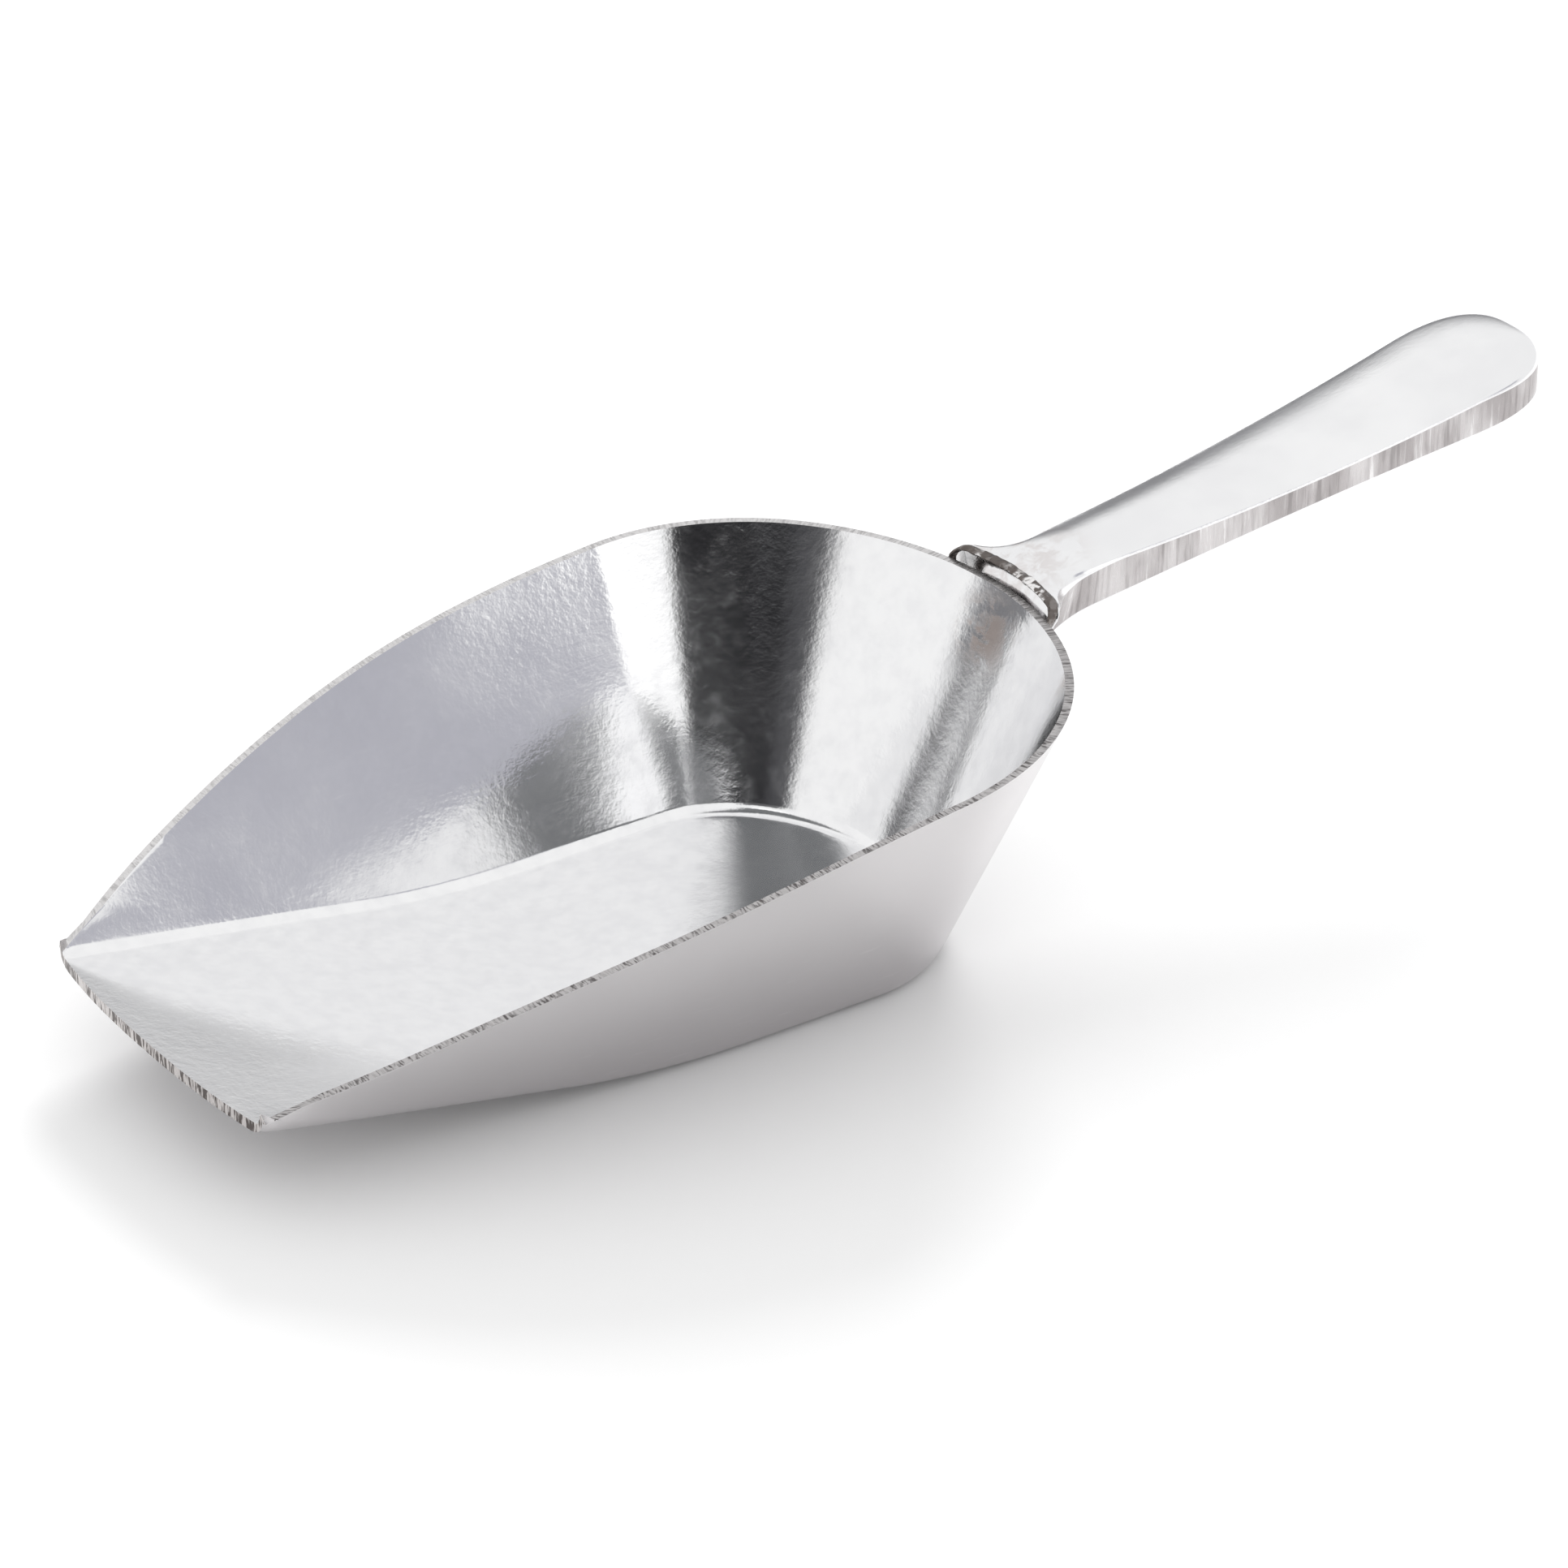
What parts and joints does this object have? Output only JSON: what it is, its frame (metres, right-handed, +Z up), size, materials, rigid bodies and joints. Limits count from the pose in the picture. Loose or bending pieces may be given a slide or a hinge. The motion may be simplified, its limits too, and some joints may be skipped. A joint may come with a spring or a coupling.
{
  "type": "ice scoop",
  "caption": "Small polished aluminium ice scoop: flared flat-bottomed bowl with a raised straight lip and a flat spoon-shaped handle welded to the rear rim.",
  "frame": {"origin": "centre of the bounding box in plan, on the plane of the flat rear base that the scoop stands on", "axes": "+X from the lip towards the handle end, the longest extent; +Y across the bowl, the plane Y = 0 being the symmetry plane; +Z up, the shortest extent"},
  "size_m": [0.1954, 0.077, 0.0472],
  "materials": {
    "bowl": "polished, ground rim and lip",
    "handle": "polished top, ground side bands",
    "weld": "rough weld bead, partly dressed"
  },
  "bodies": {
    "root": {"scoop_bowl": "bowl", "handle": "handle", "root_weld": "weld"}
  },
  "joints": []
}
